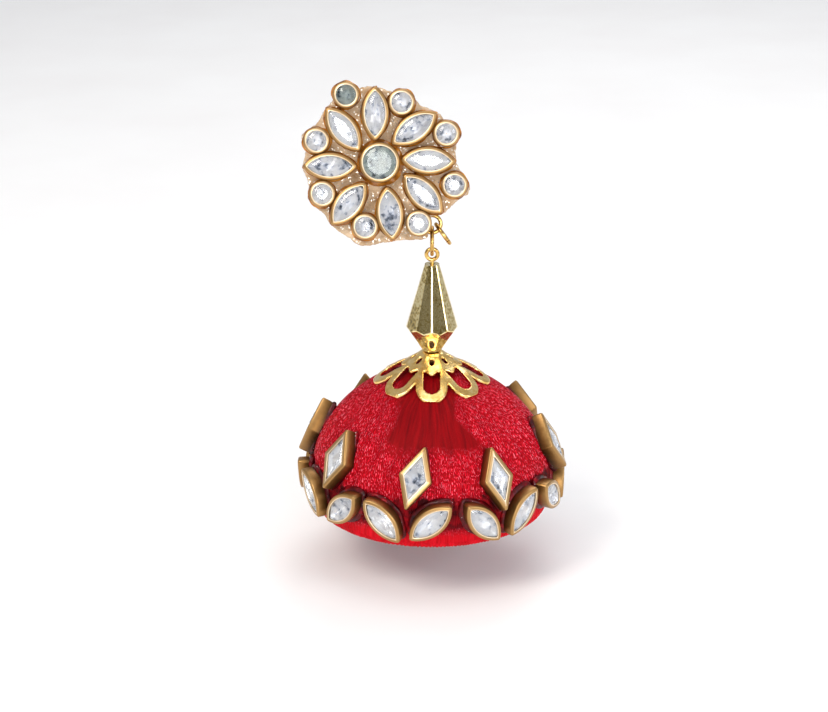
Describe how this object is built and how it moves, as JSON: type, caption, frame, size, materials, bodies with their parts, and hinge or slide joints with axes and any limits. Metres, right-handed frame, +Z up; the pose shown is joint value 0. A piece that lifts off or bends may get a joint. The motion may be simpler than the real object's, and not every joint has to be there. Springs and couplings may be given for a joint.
{
  "type": "jhumka earring",
  "caption": "Drop earring with a flower stud of set stones on a post, a faceted bead, a pierced cap and a thread-wound bell edged with set stones, swinging on a jump ring.",
  "frame": {"origin": "middle of the ear post's pad, where it lies against the lobe", "axes": "+Z up as it hangs, -Y the front with the stones, +X to the right of someone who faces the stones; the post points to +Y and a little down"},
  "size_m": [0.0417, 0.0416, 0.0665],
  "materials": {
    "backing": "stiff felt with pale gold glitter, trimmed by hand",
    "gold_metal": "gold-plated wire, polished",
    "bright_gold": "pierced gold-plated sheet, bright",
    "gold_bead": "faceted bead with a pale gold metal coating",
    "set_stone": "clear cut glass with silver foil behind, in an antique-gold cup",
    "silk_thread": "glossy red silk thread, wound side by side"
  },
  "bodies": {
    "stud": {"stud_plate": "backing", "ear_post": "gold_metal", "stud_loop": "gold_metal", "spare_ring": "gold_metal", "centre_stone": "set_stone", "petal_stone_1": "set_stone", "petal_stone_2": "set_stone", "petal_stone_3": "set_stone", "petal_stone_4": "set_stone", "petal_stone_5": "set_stone", "petal_stone_6": "set_stone", "petal_stone_7": "set_stone", "petal_stone_8": "set_stone", "small_stone_1": "set_stone", "small_stone_2": "set_stone", "small_stone_3": "set_stone", "small_stone_4": "set_stone", "small_stone_5": "set_stone", "small_stone_6": "set_stone", "small_stone_7": "set_stone", "small_stone_8": "set_stone"},
    "link": {"jump_ring": "gold_metal"},
    "drop": {"eye_pin": "gold_metal", "drop_bead": "gold_bead", "bead_cap": "bright_gold", "thread_bell": "silk_thread", "rhombus_stone_1": "set_stone", "rhombus_stone_2": "set_stone", "rhombus_stone_3": "set_stone", "rhombus_stone_4": "set_stone", "rhombus_stone_5": "set_stone", "rhombus_stone_6": "set_stone", "rhombus_stone_7": "set_stone", "rhombus_stone_8": "set_stone", "rim_stone_1": "set_stone", "rim_stone_2": "set_stone", "rim_stone_3": "set_stone", "rim_stone_4": "set_stone", "rim_stone_5": "set_stone", "rim_stone_6": "set_stone", "rim_stone_7": "set_stone", "rim_stone_8": "set_stone", "rim_stone_9": "set_stone", "rim_stone_10": "set_stone", "rim_stone_11": "set_stone", "rim_stone_12": "set_stone", "rim_stone_13": "set_stone", "rim_stone_14": "set_stone", "rim_stone_15": "set_stone", "rim_stone_16": "set_stone"}
  },
  "joints": [
    {"name": "link_swing", "type": "hinge", "parent": "stud", "child": "link", "pos_m": [0.00782, -0.00325, -0.00994], "axis": [1, 0, 0], "range_deg": [-35, 35]},
    {"name": "drop_swing", "type": "hinge", "parent": "link", "child": "drop", "pos_m": [0.00782, -0.00325, -0.01321], "axis": [0, 1, 0], "range_deg": [-45, 45]}
  ]
}
